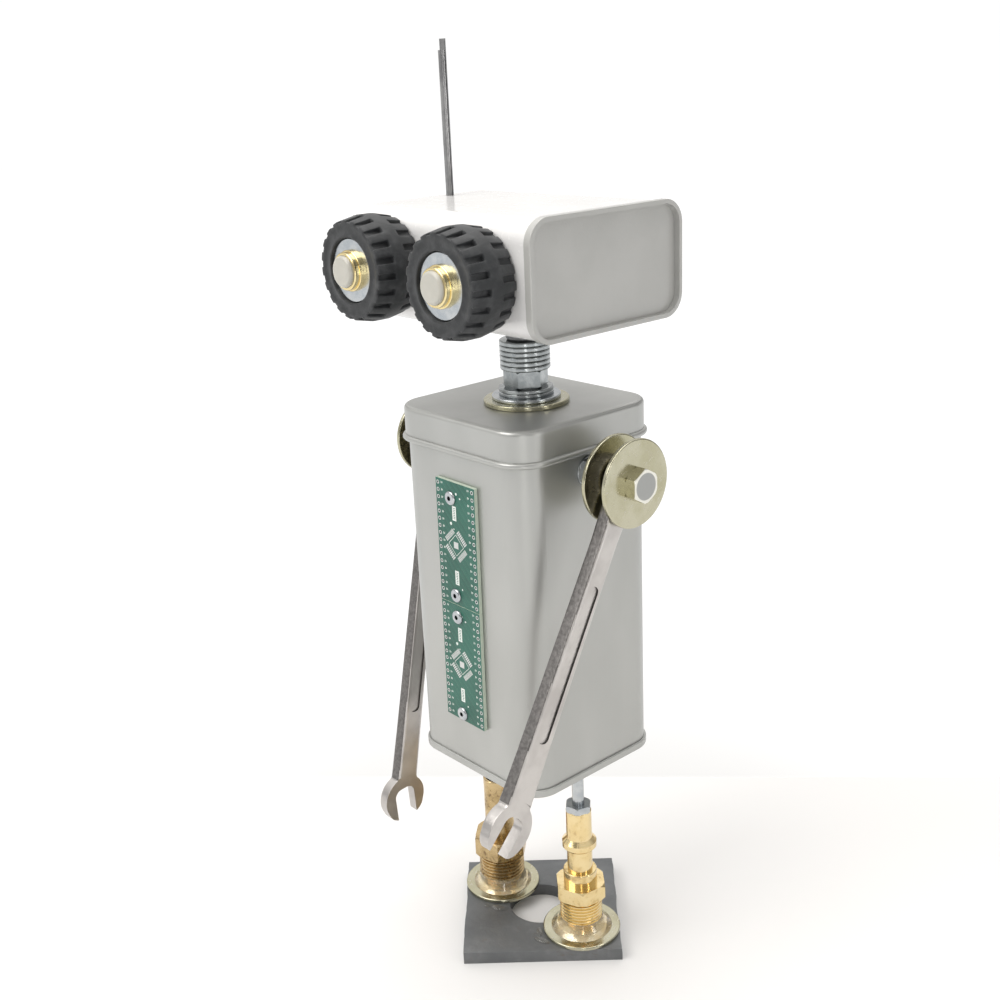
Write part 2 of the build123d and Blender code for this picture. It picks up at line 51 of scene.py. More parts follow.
# ---------------------------------------------------------------------------------------------
# The set: a pale table that meets a white wall, a soft lamp high on the left, a ceiling panel
# and a low strip, with the camera a little above the robot's shoulder on its left.
class Graph:
    """A node tree, with one method that adds any node to it."""

    def __init__(self, tree):
        self.tree = tree
        tree.nodes.clear()

    def node(self, kind, settings=None, sockets=None):
        made = self.tree.nodes.new(kind)
        for key, value in (settings or {}).items():
            setattr(made, key, value)
        for key, value in (sockets or {}).items():
            self.plug(made.inputs[key], value)
        return made

    def plug(self, socket, value):
        if isinstance(value, Flow):
            value = value.socket
        if isinstance(value, bpy.types.NodeSocket):
            self.tree.links.new(value, socket)
        else:
            socket.default_value = value

    def flow(self, socket):
        return Flow(self, socket)

    def step(self, flow, low, high):
        """0 below low, 1 above high, and a smooth rise between."""
        ramp = self.node("ShaderNodeMapRange", {"interpolation_type": "SMOOTHSTEP"},
                         {"Value": flow, "From Min": low, "From Max": high})
        return self.flow(ramp.outputs[0])

    def mix(self, mask, first, second):
        """The first colour where the mask is 0 and the second where it is 1."""
        mixed = self.node("ShaderNodeMix", {"data_type": "RGBA"}, {0: mask, 6: first, 7: second})
        return mixed.outputs[2]


class Flow:
    """A number that varies over a surface: sums on it become Math nodes."""

    def __init__(self, graph, socket):
        self.graph, self.socket = graph, socket

    def join(self, how, first, second):
        made = self.graph.node("ShaderNodeMath", {"operation": how}, {0: first, 1: second})
        return Flow(self.graph, made.outputs[0])

    def __add__(self, other):
        return self.join("ADD", self, other)

    def __radd__(self, other):
        return self.join("ADD", other, self)

    def __sub__(self, other):
        return self.join("SUBTRACT", self, other)

    def __rsub__(self, other):
        return self.join("SUBTRACT", other, self)

    def __mul__(self, other):
        return self.join("MULTIPLY", self, other)

    def __rmul__(self, other):
        return self.join("MULTIPLY", other, self)


class Finish(Graph):
    """A surface finish: a material with one main shader, patterned on the piece's own place."""

    def __init__(self, name, **plain):
        self.material = bpy.data.materials.new(name)
        self.material.use_nodes = True
        super().__init__(self.material.node_tree)
        self.shader = self.node("ShaderNodeBsdfPrincipled")
        self.node("ShaderNodeOutputMaterial", None, {0: self.shader.outputs[0]})
        self.place = self.node("ShaderNodeTexCoord").outputs["Object"]
        self.give(**plain)

    def give(self, **sockets):
        for key, value in sockets.items():
            self.plug(self.shader.inputs[SOCKETS[key]], value)

    def axes(self):
        split = self.node("ShaderNodeSeparateXYZ", None, {0: self.place})
        return [self.flow(out) for out in split.outputs]

    def spread(self, stretch, turn):
        """Places over the surface, drawn out and turned, for a pattern to read."""
        placed = self.node("ShaderNodeMapping", {"vector_type": "TEXTURE"},
                           {"Vector": self.place, "Rotation": turn, "Scale": stretch})
        return placed.outputs[0]

    def cloud(self, size, detail=3.0, stretch=(1, 1, 1), turn=(0, 0, 0), rough=0.55):
        """Soft noise with blotches about as wide as the size, in metres."""
        noise = self.node("ShaderNodeTexNoise", None,
                          {"Vector": self.spread(stretch, turn), "Scale": 1 / size,
                           "Detail": detail, "Roughness": rough})
        return self.flow(noise.outputs["Fac"])

    def scratches(self, size, stretch, turn):
        """Fine scuffs drawn out along one axis, 1 on a scuff."""
        return self.step(self.cloud(size, 2.0, stretch, turn, 0.5), 0.62, 0.70)

    def relief(self, height, depth):
        """Raise the surface by the height, which runs from 0 to 1, times a depth in metres."""
        bump = self.node("ShaderNodeBump", None,
                         {"Height": height, "Distance": depth, "Strength": 1.0})
        self.give(normal=bump.outputs[0])


SOCKETS = {"colour": "Base Color", "rough": "Roughness", "metal": "Metallic", "ior": "IOR",
           "coat": "Coat Weight", "coat_rough": "Coat Roughness", "sheen": "Sheen Weight",
           "clear": "Transmission Weight", "normal": "Normal",
           "under": "Subsurface Weight", "under_reach": "Subsurface Radius",
           "shine": "Specular IOR Level", "glow": "Emission Color",
           "glow_power": "Emission Strength"}


def paint(names, finish):
    """Give CAD nodes a finish in place of the plain colour that they were packed with."""
    for name in names:
        nodes[name].data.materials.clear()
        nodes[name].data.materials.append(finish.material)


def drop_selection():
    for thing in bpy.context.selected_objects:
        thing.select_set(False)


def named(name, finish=None):
    """The piece just added, named and given its finish."""
    piece = bpy.context.object
    piece.name = piece.data.name = name
    piece.data.materials.clear()
    if finish is not None:
        piece.data.materials.append(finish.material)
    return piece


# The wall is the part of the table beyond a line, which glows so that it reads as plain white.
drop_selection()
VIEW_TURN = radians(49.324)
towards = Vector((sin(VIEW_TURN), -cos(VIEW_TURN), 0))
rightward = Vector((cos(VIEW_TURN), sin(VIEW_TURN), 0))
wall_foot = Vector((-44.3, 110.1, 0)) * MM
wall_line = Vector((0.7168, 0.6973, 0))
WALL_EDGE = 0.8 * MM
TABLE_R = 6.0

table = Finish("pale_table", rough=0.8)
across = Vector((-wall_line.y, wall_line.x, 0))
along_x, along_y, _ = table.axes()
foot_line = across.dot(wall_foot)
wall = table.step(along_x * across.x + along_y * across.y,
                  foot_line - WALL_EDGE, foot_line + WALL_EDGE)
off_centre = along_x * along_x + along_y * along_y
far = table.step(off_centre, 0.10, 0.6)
bright = wall + far - wall * far
# Painted shadow: close to the robot the wall's glow is dimmed from white to grey.
near_robot_shadow = 1.0 - table.step(off_centre, 0.008, 0.06)
wall_glow_with_shadow = table.mix(near_robot_shadow * wall, (0.97, 0.97, 0.97, 1), (0.80, 0.79, 0.77, 1))
table.give(colour=table.mix(bright, (0.74, 0.735, 0.73, 1), (0.08, 0.08, 0.08, 1)),
           glow=table.mix(bright, (0.0, 0.0, 0.0, 1), wall_glow_with_shadow), glow_power=1.0)
bpy.ops.mesh.primitive_circle_add(vertices=96, radius=TABLE_R, fill_type="NGON")
named("table_top", table)

world = bpy.data.worlds.new("studio")
bpy.context.scene.world = world
world.use_nodes = True
air = Graph(world.node_tree)
way = air.node("ShaderNodeTexCoord").outputs["Generated"]
facing = air.node("ShaderNodeVectorMath", {"operation": "DOT_PRODUCT"},
                  {0: way, 1: tuple(towards)})
aside = air.node("ShaderNodeVectorMath", {"operation": "DOT_PRODUCT"},
                 {0: way, 1: tuple(rightward)})
rise = air.flow(air.node("ShaderNodeSeparateXYZ", None, {0: way}).outputs[2])
room = air.step(air.flow(facing.outputs["Value"]), 0.1, 0.7)
window = air.step(air.flow(aside.outputs["Value"]), -0.3, -0.8)
doorway = air.step(air.flow(aside.outputs["Value"]), 0.1, 0.75)
ceiling = air.step(rise, 0.3, 0.75)
backdrop = air.step(air.flow(facing.outputs["Value"]), -0.25, -0.7)
light = (0.75 - room * 0.48) * (1.0 - doorway * 0.45) + window * 0.4 + ceiling * 0.9 \
    + backdrop * 0.55
seen = air.node("ShaderNodeLightPath").outputs["Is Camera Ray"]
glow = air.mix(seen, (1.0, 0.985, 0.97, 1), (1.0, 0.995, 0.99, 1))
power = light * (1.0 - air.flow(seen)) * 0.60 + air.flow(seen) * 1.02
back = air.node("ShaderNodeBackground", None, {"Color": glow, "Strength": power})
air.node("ShaderNodeOutputWorld", None, {0: back.outputs[0]})


chest = Vector((0, 0, 0.17))


def lamp(name, right, front, up, wide, high, watts):
    """A soft warm panel, placed from the robot's chest as the viewer stands, and aimed at it."""
    data = bpy.data.lights.new(name, "AREA")
    data.shape, data.size, data.size_y = "RECTANGLE", wide, high
    data.energy, data.color = watts, (1.0, 0.98, 0.95)
    lit_by = bpy.data.objects.new(name, data)
    bpy.context.scene.collection.objects.link(lit_by)
    lit_by.location = chest + rightward * right + towards * front + Vector((0, 0, up))
    lit_by.rotation_euler = (chest - lit_by.location).to_track_quat("-Z", "Y").to_euler()


lamp("soft_lamp", -0.75, 0.35, 0.85, wide=0.8, high=0.8, watts=7.0)
lamp("ceiling_panel", 0, -0.1, 1.2, wide=1.1, high=1.1, watts=10.0)
lamp("front_strip", 0.05, 1.0, 0.12, wide=0.10, high=0.9, watts=1.3)
lamp("side_strip", 0.75, 0.6, 0.2, wide=0.10, high=0.6, watts=1.2)

CAMERA_SPOT = (0.339689, -0.304323, 0.341929)
view_back = Vector((0.718159, -0.617189, 0.321443))
view_right = Vector((0.662667, 0.747550, -0.045175))
view_up = view_back.cross(view_right)
eye = bpy.data.cameras.new("camera")
eye.lens, eye.sensor_width, eye.clip_start, eye.clip_end = 45.65, 36.0, 0.01, 30.0
camera = bpy.data.objects.new("camera", eye)
bpy.context.scene.collection.objects.link(camera)
turned = Matrix((view_right, view_up, view_back)).transposed().to_4x4()
camera.matrix_world = Matrix.Translation(CAMERA_SPOT) @ turned
bpy.context.scene.camera = camera
bpy.context.scene.view_settings.view_transform = "Standard"


# ---------------------------------------------------------------------------------------------
# Base plate: a square of hot-rolled steel, sheared by hand so that its edges wander, with a
# flame-cut hole, and a skin of blue-grey mill scale rubbed thin on the high spots.
def tool(kind, name, **size):
    """A plain shape to cut or build with."""
    drop_selection()
    getattr(bpy.ops.mesh, "primitive_" + kind + "_add")(**size)
    return named(name)


def settle(piece):
    """Apply a piece's turn and size, so that its place is all in its mesh."""
    drop_selection()
    piece.select_set(True)
    bpy.context.view_layer.objects.active = piece
    bpy.ops.object.transform_apply(location=True, rotation=True, scale=True)
    return piece


def finishing(piece, kind, **settings):
    """Add a modifier and apply it."""
    bpy.context.view_layer.objects.active = piece
    added = piece.modifiers.new(kind.lower(), kind)
    for key, value in settings.items():
        setattr(added, key, value)
    bpy.ops.object.modifier_apply(modifier=added.name)
    return piece


def carve(piece, cutter):
    """Cut a tool out of a piece, and clear the tool away."""
    finishing(piece, "BOOLEAN", object=cutter, operation="DIFFERENCE", solver="EXACT")
    bpy.data.objects.remove(cutter)
    return piece


def gather(piece, *others):
    """Join other pieces into the first one's mesh."""
    drop_selection()
    for part in (*others, piece):
        part.select_set(True)
    bpy.context.view_layer.objects.active = piece
    bpy.ops.object.join()
    return piece


def smooth(piece, angle):
    """Shade a piece smooth, except at edges sharper than the angle, in degrees."""
    drop_selection()
    piece.select_set(True)
    bpy.context.view_layer.objects.active = piece
    bpy.ops.object.shade_smooth_by_angle(angle=radians(angle))
    return piece


steel = Finish("mill_scale_steel", metal=0.75, shine=0.4)
scale_skin = steel.cloud(0.006, 5.0)
broad = steel.cloud(0.022, 3.0)
rubbed = steel.step(steel.cloud(0.0035, 6.0) * 0.6 + broad * 0.6, 0.62, 0.92)
skin = steel.mix(steel.step(broad, 0.3, 0.7), (0.145, 0.152, 0.158, 1), (0.195, 0.202, 0.206, 1))
skin = steel.mix(rubbed * 0.6, skin, (0.27, 0.275, 0.28, 1))
rust = steel.step(steel.cloud(0.0028, 4.0, (1, 1, 0.4)) * 0.6 + broad * 0.5, 0.66, 0.78)
steel.give(colour=steel.mix(rust * 0.35, skin, (0.17, 0.115, 0.075, 1)),
           rough=0.42 + scale_skin * 0.28)
steel.relief(scale_skin * 0.7 + steel.cloud(0.0012, 3.0) * 0.3, 0.00035)

PLATE_SIDES = (64 * MM, 62 * MM)
PLATE_TURN = radians(47.6)
HOLE_R = 13 * MM
SWAY = 0.9 * MM
plate_low, plate_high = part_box("base_plate")
plate_thick = plate_high.z - plate_low.z
plate = tool("cube", "base_plate_steel", size=1, location=(0, 0, plate_thick / 2),
             rotation=(0, 0, PLATE_TURN), scale=(*PLATE_SIDES, plate_thick))
bpy.ops.object.mode_set(mode="EDIT")
bpy.ops.mesh.select_all(action="SELECT")
bpy.ops.mesh.subdivide(number_cuts=22)
bpy.ops.object.mode_set(mode="OBJECT")
settle(plate)
flame_hole = settle(tool("cylinder", "flame_hole", vertices=64, radius=HOLE_R, depth=20 * MM,
                         location=(0, 0, plate_thick / 2)))
waver = bpy.data.textures.new("hand_cut", "CLOUDS")
waver.noise_scale, waver.noise_depth = 0.009, 2


def hand_waver(piece):
    """Wander a piece's outline, as a cut or a drip made by hand does."""
    for direction in ("X", "Y"):
        finishing(piece, "DISPLACE", texture=waver, direction=direction, strength=SWAY,
                  mid_level=0.5, texture_coords="LOCAL")
    return piece


carve(hand_waver(plate), hand_waver(flame_hole))
finishing(plate, "BEVEL", width=0.45 * MM, segments=3, limit_method="ANGLE",
          angle_limit=radians(50))
smooth(plate, 40)
plate.data.materials.append(steel.material)
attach(plate, "torso")
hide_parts("base_plate")


# ---------------------------------------------------------------------------------------------
# Wide washers: stamped steel with a yellow chromate over the zinc, almost a mirror, which turns
# olive and straw-coloured in patches. They sit under the feet, at the shoulders and the neck.
chromate = Finish("yellow_chromate", metal=1.0)
cast = chromate.cloud(0.011, 3.0)
veil = chromate.cloud(0.004, 4.0)
tone = chromate.mix(chromate.step(cast, 0.3, 0.7), (0.44, 0.42, 0.29, 1), (0.52, 0.50, 0.38, 1))
tone = chromate.mix(chromate.step(veil, 0.55, 0.75) * 0.25, tone, (0.46, 0.42, 0.34, 1))
scuff = chromate.scratches(0.0009, (1, 14, 1), (0.3, 0.2, 0.5))
chromate.give(colour=chromate.mix(scuff * 0.35, tone, (0.62, 0.60, 0.52, 1)),
              rough=0.16 + veil * 0.08 + scuff * 0.12)
chromate.relief(veil + scuff * 0.1, 0.00002)
paint(["left_foot_washer", "right_foot_washer", "shoulder_outer_washers",
       "shoulder_inner_washers", "neck_fender_washer"], chromate)

# The shoulder bolts have the same plating but paler, with the end of the head coloured grey and a
# painted highlight round its chamfer.
bolt_plate = Finish("pale_chromate", metal=1.0)
END_IN, END_OUT = 61.7 * MM, 61.9 * MM
RIGHT_BOLT_Z, LEFT_BOLT_RISE = 0.2026, 0.0028
CHAMFER_IN, CHAMFER_OUT = 4.65 * MM, 5.0 * MM
bolt_x, bolt_y, bolt_z = bolt_plate.axes()
end_face = bolt_plate.step(bolt_x * bolt_x, END_IN ** 2, END_OUT ** 2)
on_left = bolt_plate.step(bolt_x, -1 * MM, 1 * MM)
bolt_up = bolt_z - (RIGHT_BOLT_Z + on_left * LEFT_BOLT_RISE)
bolt_out = bolt_y * bolt_y + bolt_up * bolt_up
chamfer_highlight = end_face * bolt_plate.step(bolt_out, CHAMFER_IN ** 2, CHAMFER_OUT ** 2)
smear = bolt_plate.cloud(0.003, 4.0)
shank = bolt_plate.mix(bolt_plate.step(smear, 0.35, 0.7), (0.64, 0.62, 0.48, 1),
                       (0.52, 0.50, 0.38, 1))
# Painted highlight: the ring round the chamfer is coloured near white on the grey end face.
face = bolt_plate.mix(chamfer_highlight, (0.36, 0.365, 0.355, 1), (0.80, 0.79, 0.72, 1))
bolt_plate.give(colour=bolt_plate.mix(end_face, shank, face),
                rough=0.16 + smear * 0.12 + end_face * 0.12)
bolt_plate.relief(smear, 0.00006)
paint(["shoulder_bolts"], bolt_plate)


# ---------------------------------------------------------------------------------------------
# Foot glue: a skirt of clear two-part epoxy round each brass thread, wiped into a dish while
# it was wet and gone amber, with small bubbles caught in it.
resin = Finish("clear_epoxy", rough=0.06, ior=1.52, clear=0.82, coat=0.4, coat_rough=0.03)
swirl = resin.cloud(0.005, 3.0)
bubbles = resin.node("ShaderNodeTexVoronoi", {"feature": "F1"},
                     {"Vector": resin.place, "Scale": 900.0})
bubble = 1.0 - resin.step(resin.flow(bubbles.outputs["Distance"]), 0.10, 0.2)
resin.give(colour=resin.mix(resin.step(swirl, 0.35, 0.7), (0.96, 0.86, 0.62, 1),
                            (0.90, 0.72, 0.38, 1)))
resin.relief(swirl * 0.8 + bubble * 0.2, 0.0003)
paint(["left_foot_epoxy", "right_foot_epoxy"], resin)


# Drips of the same glue, squeezed out from under the washers and left to set on the plate.
# Each is placed, then given its long and short half-widths and its turn, in mm and degrees.
DRIP_TALL = 0.8 * MM
DRIP_SUNK = 0.1 * MM
drips = []
for x, y, wide, long, turn in ((-10.5, -15.0, 3.2, 1.7, 20), (-14.8, -17.6, 1.4, 0.9, 70),
                               (13.4, -13.4, 2.8, 1.4, -40), (18.0, -16.6, 3.4, 1.5, 15)):
    drip = settle(tool("ico_sphere", "drip", subdivisions=4, radius=1.0,
                       location=(x * MM, y * MM, plate_thick), rotation=(0, 0, radians(turn)),
                       scale=(wide * MM, long * MM, DRIP_TALL)))
    bpy.ops.object.mode_set(mode="EDIT")
    bpy.ops.mesh.select_all(action="SELECT")
    bpy.ops.mesh.bisect(plane_co=(0, 0, plate_thick - DRIP_SUNK), plane_no=(0, 0, 1),
                        clear_inner=True, use_fill=True)
    bpy.ops.object.mode_set(mode="OBJECT")
    drips.append(smooth(hand_waver(drip), 60))
glue = gather(*drips)
glue.name = glue.data.name = "glue_drips"
clear_glue = Finish("clear_glue", rough=0.05, ior=1.45, clear=0.95)
ripple = clear_glue.cloud(0.003, 2.0)
clear_glue.give(colour=clear_glue.mix(ripple, (1.0, 0.99, 0.95, 1), (0.96, 0.94, 0.86, 1)))
clear_glue.relief(ripple, 0.0003)
glue.data.materials.append(clear_glue.material)
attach(glue, "torso")


# ---------------------------------------------------------------------------------------------
# Left leg: a turned brass pipe adapter and air-line plug, bright from the lathe, with fine
# turning rings that catch the light and a little brown in the roots of the thread.
def brass(name, bright, warm, dark, stain, gloss):
    """Turned brass, in patches of two tones, with dark spots as strong as the stain."""
    made = Finish(name, metal=1.0)
    rings = made.cloud(0.0003, 2.0, (40, 40, 1))
    patina = made.cloud(0.006, 4.0)
    spots = made.step(made.cloud(0.0014, 4.0) * 0.6 + patina * 0.5, 0.56, 0.72)
    body = made.mix(made.step(patina, 0.35, 0.68), bright, warm)
    made.give(colour=made.mix(spots * stain, body, dark), rough=gloss + patina * 0.14 + spots * 0.1)
    made.relief(rings * 0.5 + patina * 0.5, 0.00003)
    return made


bright_brass = brass("bright_brass", (0.84, 0.68, 0.38, 1), (0.78, 0.60, 0.30, 1),
                     (0.42, 0.25, 0.10, 1), 0.45, 0.08)
paint(["left_leg_fitting", "left_leg_plug"], bright_brass)


# ---------------------------------------------------------------------------------------------
# Right leg: an older, larger brass fitting screwed over a length of tube. It has gone brown
# with handling, and darkest in the roots of its thread.
aged_brass = brass("aged_brass", (0.58, 0.44, 0.24, 1), (0.44, 0.32, 0.16, 1),
                   (0.16, 0.105, 0.06, 1), 0.85, 0.20)
paint(["right_leg_fitting", "right_leg_tube"], aged_brass)


# ---------------------------------------------------------------------------------------------
# Bright zinc hardware: threaded leg rods, nuts, board rings and small washers, of turned or
# stamped steel with a blue-white plating that clouds a little as it ages.
zinc = Finish("bright_zinc", metal=1.0)
bloom = zinc.cloud(0.005, 4.0)
speck = zinc.cloud(0.0007, 3.0)
zinc.give(colour=zinc.mix(zinc.step(bloom, 0.35, 0.7), (0.42, 0.45, 0.475, 1),
                          (0.54, 0.56, 0.57, 1)), rough=0.15 + bloom * 0.12 + speck * 0.06)
zinc.relief(bloom * 0.6 + speck * 0.4, 0.00002)
paint(["left_leg_nut", "left_leg_rod", "right_leg_rod", "leg_outer_nuts", "leg_inner_washers",
       "leg_inner_nuts", "shoulder_lock_washers", "shoulder_spacer_nuts",
       "shoulder_inside_washers", "shoulder_inside_nuts", "neck_stud", "neck_under_lid_washer",
       "neck_under_lid_nut", "neck_wide_washer", "neck_in_head_washer", "neck_in_head_nut",
       "board_eyelets", "left_eye_washer", "right_eye_washer", "eye_inside_washers",
       "eye_inside_nuts"], zinc)


# The neck's nut and washers get a darker copy of the same plating, as painted shade under the head.
zinc_in_shade = Finish("shaded_zinc", metal=1.0)
tarnish = zinc_in_shade.cloud(0.004, 4.0)
zinc_in_shade.give(colour=zinc_in_shade.mix(zinc_in_shade.step(tarnish, 0.35, 0.7), (0.27, 0.29, 0.295, 1),
                              (0.40, 0.42, 0.425, 1)), rough=0.14 + tarnish * 0.12)
zinc_in_shade.relief(tarnish, 0.00003)
paint(["neck_nut", "neck_washer_stack", "neck_lower_washers"], zinc_in_shade)


# ---------------------------------------------------------------------------------------------
# Body tin, its seamed floor and its slip-on lid: brushed tinplate with a satin lacquer, drawn
# upwards, so the faint brushing runs up and down, with soft up-and-down streaks of painted light in
# its colour.
tinplate = Finish("satin_tinplate", metal=0.82, coat=0.12, coat_rough=0.25)
brushed = tinplate.cloud(0.0006, 2.0, (1, 1, 60))
wave = tinplate.cloud(0.03, 2.0, (1, 1, 2.5))
mottle = tinplate.cloud(0.004, 4.0)
# Painted light: the long soft streaks lighten the colour in bands that run up and down.
dull = tinplate.mix(tinplate.step(wave, 0.35, 0.65), (0.415, 0.42, 0.405, 1),
                    (0.455, 0.46, 0.445, 1))
tinplate.give(colour=tinplate.mix(brushed * 0.25, dull, (0.50, 0.505, 0.49, 1)),
              rough=0.34 + brushed * 0.08 + mottle * 0.06)
tinplate.relief(wave + brushed * 0.02, 0.0006)
paint(["body_tin", "body_floor", "body_lid"], tinplate)


# ---------------------------------------------------------------------------------------------
# Head tin: the same kind of drawn tin laid on its side, enamelled white, with a seamed end
# panel and a push-in cap at the far end. The end panel's enamel is a shade greyer in itself, and
# darker still with painted shade.
def enamel(name, light_tone, shade_tone, gloss):
    """Sprayed enamel, which drifts between two tones under a faint orange peel."""
    made = Finish(name, rough=gloss, coat=0.5, coat_rough=0.08)
    drift = made.cloud(0.02, 3.0)
    peel = made.cloud(0.0016, 2.0)
    made.give(colour=made.mix(made.step(drift, 0.3, 0.7), light_tone, shade_tone),
              rough=gloss + peel * 0.08)
    made.relief(peel * 0.5 + drift * 0.5, 0.00012)
    return made


white_enamel = enamel("white_enamel", (0.74, 0.735, 0.73, 1), (0.69, 0.685, 0.68, 1), 0.22)
# Painted shade: the end panel's enamel is a far darker copy of the white, partly its own greyer
# tone and mostly shade on that end.
shaded_panel_enamel = enamel("shaded_panel_enamel", (0.415, 0.415, 0.40, 1), (0.385, 0.385, 0.37, 1), 0.26)
paint(["head_shell", "head_cap"], white_enamel)
paint(["head_end_panel"], shaded_panel_enamel)


# ---------------------------------------------------------------------------------------------
# Neck spacer: a cut length of soft grey lead-coated sleeve, hacksawn and left ragged.
lead = Finish("dull_lead", metal=0.7)
crust = lead.cloud(0.002, 5.0)
lead.give(colour=lead.mix(crust, (0.16, 0.165, 0.17, 1), (0.36, 0.365, 0.37, 1)),
          rough=0.5 + crust * 0.2)
lead.relief(crust, 0.0004)
paint(["neck_spacer"], lead)


# ---------------------------------------------------------------------------------------------
# Antenna: a long split pin of plain drawn steel wire, rubbed bright along its two flats.
wire = Finish("drawn_wire", metal=1.0)
drawn = wire.cloud(0.0004, 2.0, (1, 1, 40))
grime = wire.cloud(0.006, 4.0)
wire.give(colour=wire.mix(wire.step(grime, 0.35, 0.7), (0.24, 0.24, 0.245, 1),
                          (0.36, 0.36, 0.36, 1)), rough=0.28 + drawn * 0.12)
wire.relief(drawn, 0.00004)
paint(["antenna_pin"], wire)


# ---------------------------------------------------------------------------------------------
# Eyes: a push button in a stepped brass bezel, held through a washer at the hub of a wheel.
# The button is milky plastic, and a plastic hub fills the tyre behind the washer.
pearl = Finish("pearl_plastic", rough=0.28, under=0.25, coat=0.5, coat_rough=0.1)
pearl.give(under_reach=(0.002, 0.0018, 0.0015))
haze = pearl.cloud(0.004, 3.0)
pearl.give(colour=pearl.mix(haze, (0.50, 0.485, 0.425, 1), (0.40, 0.39, 0.35, 1)))
pearl.relief(haze, 0.0001)
paint(["left_eye_button", "right_eye_button"], pearl)

gilt = brass("gilt_bezel", (0.80, 0.68, 0.38, 1), (0.76, 0.61, 0.31, 1),
             (0.50, 0.36, 0.16, 1), 0.25, 0.07)
paint(["left_eye_bezel", "right_eye_bezel"], gilt)

hub = Finish("hub_plastic", rough=0.4)
hub.give(colour=hub.mix(hub.cloud(0.003, 3.0), (0.03, 0.032, 0.034, 1), (0.05, 0.052, 0.055, 1)))
hub.relief(hub.cloud(0.001), 0.00005)
paint(["left_eye_hub", "right_eye_hub"], hub)


# ---------------------------------------------------------------------------------------------
# Tyres: toy-truck tyres of moulded black rubber. Twenty lugs on each shoulder stand out round
# a plain centre band, and the lugs of one side face the gaps of the other.
rubber = Finish("moulded_rubber", shine=0.35, sheen=0.1)
dust = rubber.cloud(0.004, 5.0)
pores = rubber.cloud(0.0004, 2.0)
rubber.give(colour=rubber.mix(rubber.step(dust, 0.4, 0.75), (0.018, 0.020, 0.022, 1),
                              (0.046, 0.048, 0.051, 1)), rough=0.42 + dust * 0.25)
rubber.relief(dust * 0.5 + pores * 0.5, 0.00012)

LUGS = 20
LUG_STEPS = 5
LUG_SOLID = 3
SPOKES = LUGS * LUG_STEPS
LUG_TALL = 2.0 * MM
RIM_DROP = 0.93
tyre_low, tyre_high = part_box("left_eye_tyre")
tyre_wide = tyre_high.y - tyre_low.y
tyre_r = (tyre_high.z - tyre_low.z) / 2
carcass_r = tyre_r - LUG_TALL
shoulder_run = 6.5 * MM


def pick(piece, test):
    """Select the faces whose centre and normal pass a test."""
    bpy.ops.object.mode_set(mode="OBJECT")
    for vertex in piece.data.vertices:
        vertex.select = False
    for edge in piece.data.edges:
        edge.select = False
    for face in piece.data.polygons:
        face.select = test(face.center, face.normal)
    bpy.ops.object.mode_set(mode="EDIT")
    bpy.ops.mesh.select_mode(type="FACE")


def lathe(name, outline, spokes):
    """A ring of rings about the Y axis, from (radius, y) points, each drawn out of the last."""
    drop_selection()
    first_r, first_y = outline[0]
    bpy.ops.mesh.primitive_circle_add(vertices=spokes, radius=first_r, fill_type="NOTHING",
                                      location=(0, first_y, 0), rotation=(pi / 2, 0, 0))
    piece = named(name)
    settle(piece)
    bpy.ops.object.mode_set(mode="EDIT")
    bpy.ops.mesh.select_all(action="SELECT")
    for (last_r, last_y), (next_r, next_y) in zip(outline, outline[1:]):
        bpy.ops.mesh.extrude_edges_move(
            TRANSFORM_OT_translate={"value": (0, next_y - last_y, 0)})
        bpy.ops.transform.resize(value=(next_r / last_r, 1, next_r / last_r),
                                 center_override=(0, next_y, 0))
    bpy.ops.mesh.select_all(action="SELECT")
    bpy.ops.mesh.remove_doubles(threshold=1e-6)
    bpy.ops.mesh.normals_make_consistent(inside=False)
    bpy.ops.object.mode_set(mode="OBJECT")
    return piece


def choose(piece, kind, wanted):
    """Open a piece for editing with only the vertices, or edges, that pass a test."""
    mesh = piece.data
    for group in (mesh.vertices, mesh.edges, mesh.polygons):
        for item in group:
            item.select = False
    if kind == "VERT":
        for vertex in mesh.vertices:
            vertex.select = wanted(vertex.co)
    else:
        for edge in mesh.edges:
            edge.select = wanted(*(mesh.vertices[i].co for i in edge.vertices))
    bpy.context.tool_settings.mesh_select_mode = (kind == "VERT", kind == "EDGE", False)
    bpy.ops.object.mode_set(mode="EDIT")


bead_in = 11.4 * MM
tyre_outline = [(bead_in, 0), (12.2 * MM, 0), (12.6 * MM, 0.2 * MM), (14.9 * MM, 0.2 * MM),
                (15.4 * MM, 0), (carcass_r, 0), (carcass_r, shoulder_run),
                (carcass_r, tyre_wide - shoulder_run), (carcass_r, tyre_wide),
                (12.4 * MM, tyre_wide), (bead_in, tyre_wide), (bead_in, 0)]
tyre = lathe("tyre", tyre_outline, SPOKES)


def lug_face(centre, normal):
    """True on the centre band and on the lugs, which the gaps between them interrupt."""
    if (centre.x ** 2 + centre.z ** 2) ** 0.5 < carcass_r * 0.985 or abs(normal.y) > 0.5:
        return False
    if shoulder_run < centre.y < tyre_wide - shoulder_run:
        return True
    turn = (Vector((centre.x, centre.z)).angle_signed(Vector((1, 0))) / (2 * pi)) % 1
    stagger = 2 if centre.y > tyre_wide / 2 else 0
    return int(turn * SPOKES + stagger) % LUG_STEPS < LUG_SOLID


